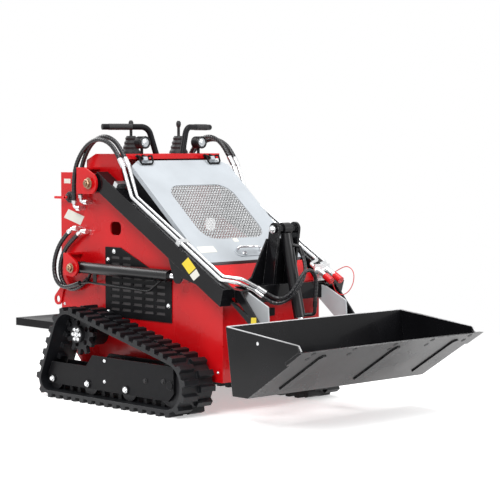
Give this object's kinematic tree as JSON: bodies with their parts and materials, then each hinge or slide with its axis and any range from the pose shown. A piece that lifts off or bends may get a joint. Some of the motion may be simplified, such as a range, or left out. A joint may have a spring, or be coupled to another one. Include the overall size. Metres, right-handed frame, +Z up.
{
  "type": "mini skid steer loader",
  "caption": "Compact stand-on tracked loader with lift arms, a tilting bucket, a sloped grille hood, deck controls and a folding rear platform.",
  "frame": {"origin": "centre of the plan outline, on the ground under the tracks", "axes": "+X forward towards the bucket, +Y to the machine's left, +Z up"},
  "size_m": [2.38, 1.129, 1.3],
  "materials": {
    "body_paint": "gloss",
    "boom_paint": "gloss",
    "hood_paint": "satin",
    "bucket_paint": "satin",
    "frame_paint": "satin",
    "track_rubber": "matt",
    "wheel_iron": "satin",
    "cylinder_paint": "gloss",
    "rod_chrome": "polished",
    "engine_iron": "matt",
    "control_rubber": "matt",
    "grille_paint": "satin",
    "lamp_plastic": "satin",
    "zinc": "satin",
    "hose_rubber": "satin",
    "cover_paint": "satin",
    "cap_plastic": "satin"
  },
  "bodies": {
    "root": {"belly_pan": "body_paint", "front_panel": "body_paint", "top_deck": "body_paint", "rear_panel": "body_paint", "engine_block": "engine_iron", "bay_frame": "frame_paint", "side_grilles": "grille_paint", "step_mount": "body_paint", "joysticks": "control_rubber", "work_lamps": "lamp_plastic", "hand_bars": "frame_paint", "hood_hinges": "frame_paint", "tie_down_rings": "body_paint", "hose_fittings": "zinc", "upper_hose_outer_right": "hose_rubber", "upper_hose_inner_right": "hose_rubber", "lower_hose_outer_right": "hose_rubber", "lower_hose_inner_right": "hose_rubber", "track_right": "track_rubber", "track_frame_right": "frame_paint", "track_wheels_right": "wheel_iron", "drive_sprocket_right": "wheel_iron", "side_plate_right": "body_paint", "boom_mount_right": "body_paint", "upper_hose_outer_left": "hose_rubber", "upper_hose_inner_left": "hose_rubber", "lower_hose_outer_left": "hose_rubber", "lower_hose_inner_left": "hose_rubber", "track_left": "track_rubber", "track_frame_left": "frame_paint", "track_wheels_left": "wheel_iron", "drive_sprocket_left": "wheel_iron", "side_plate_left": "body_paint", "boom_mount_left": "body_paint"},
    "hood": {"hood": "hood_paint", "hood_mesh": "grille_paint"},
    "boom": {"cross_beam": "boom_paint", "tilt_tower": "boom_paint", "boom_legs": "boom_paint", "leg_inner_plates": "cover_paint", "boom_pipes": "zinc", "aux_couplers": "zinc", "coupler_caps": "cap_plastic", "tilt_hose_upper": "hose_rubber", "tilt_hose_lower": "hose_rubber", "boom_arm_right": "boom_paint", "boom_arm_left": "boom_paint"},
    "tilt_barrel": {"tilt_barrel": "cylinder_paint"},
    "tilt_rod": {"tilt_rod": "rod_chrome"},
    "bucket": {"hitch_plate": "boom_paint", "bucket_shell": "bucket_paint", "bucket_sides": "bucket_paint"},
    "platform": {"step_platform": "frame_paint"},
    "lift_barrel_right": {"lift_barrel_right": "cylinder_paint"},
    "lift_rod_right": {"lift_rod_right": "rod_chrome"},
    "lift_barrel_left": {"lift_barrel_left": "cylinder_paint"},
    "lift_rod_left": {"lift_rod_left": "rod_chrome"}
  },
  "joints": [
    {"name": "boom_lift", "type": "hinge", "parent": "root", "child": "boom", "pos_m": [-0.372, 0, 1.007], "axis": [0, -1, 0], "range_deg": [0, 86], "deforming": ["upper_hose_outer_right", "upper_hose_outer_left", "upper_hose_inner_right", "upper_hose_inner_left"]},
    {"name": "bucket_tilt", "type": "hinge", "parent": "boom", "child": "bucket", "pos_m": [0.62, 0, 0.2], "axis": [0, 1, 0], "range_deg": [0, 80]},
    {"name": "hood_open", "type": "hinge", "parent": "root", "child": "hood", "pos_m": [-0.19534, 0, 1.12347], "axis": [0, -1, 0], "range_deg": [0, 60]},
    {"name": "platform_fold", "type": "hinge", "parent": "root", "child": "platform", "pos_m": [-0.752, 0, 0.291], "axis": [0, 1, 0], "range_deg": [0, 85]},
    {"name": "lift_barrel_pivot_right", "type": "hinge", "parent": "root", "child": "lift_barrel_right", "pos_m": [-0.51, -0.345, 0.607], "axis": [0, -1, 0], "range_deg": [0, 59.3], "deforming": ["lower_hose_outer_right", "lower_hose_inner_right"]},
    {"name": "lift_rod_slide_right", "type": "slide", "parent": "lift_barrel_right", "child": "lift_rod_right", "axis": [1, 0, -0.0068], "range_m": [0, 0.3955]},
    {"name": "lift_barrel_pivot_left", "type": "hinge", "parent": "root", "child": "lift_barrel_left", "pos_m": [-0.51, 0.345, 0.607], "axis": [0, -1, 0], "range_deg": [0, 59.3], "deforming": ["lower_hose_outer_left", "lower_hose_inner_left"]},
    {"name": "lift_rod_slide_left", "type": "slide", "parent": "lift_barrel_left", "child": "lift_rod_left", "axis": [1, 0, -0.0068], "range_m": [0, 0.3955]},
    {"name": "tilt_barrel_pivot", "type": "hinge", "parent": "boom", "child": "tilt_barrel", "pos_m": [0.517, 0, 0.815], "axis": [0, -1, 0], "range_deg": [0, 5.6], "deforming": ["tilt_hose_upper", "tilt_hose_lower"]},
    {"name": "tilt_rod_slide", "type": "slide", "parent": "tilt_barrel", "child": "tilt_rod", "axis": [0.2366, 0, -0.9716], "range_m": [0, 0.1325]}
  ],
  "couplings": [
    {"joint": "lift_barrel_pivot_right", "follows": "boom_lift", "ratio": 0.68855},
    {"joint": "lift_rod_slide_right", "follows": "boom_lift", "m_per_rad": 0.2632},
    {"joint": "lift_barrel_pivot_left", "follows": "boom_lift", "ratio": 0.68855},
    {"joint": "lift_rod_slide_left", "follows": "boom_lift", "m_per_rad": 0.2632},
    {"joint": "tilt_barrel_pivot", "follows": "bucket_tilt", "ratio": 0.069337},
    {"joint": "tilt_rod_slide", "follows": "bucket_tilt", "m_per_rad": 0.094703}
  ]
}
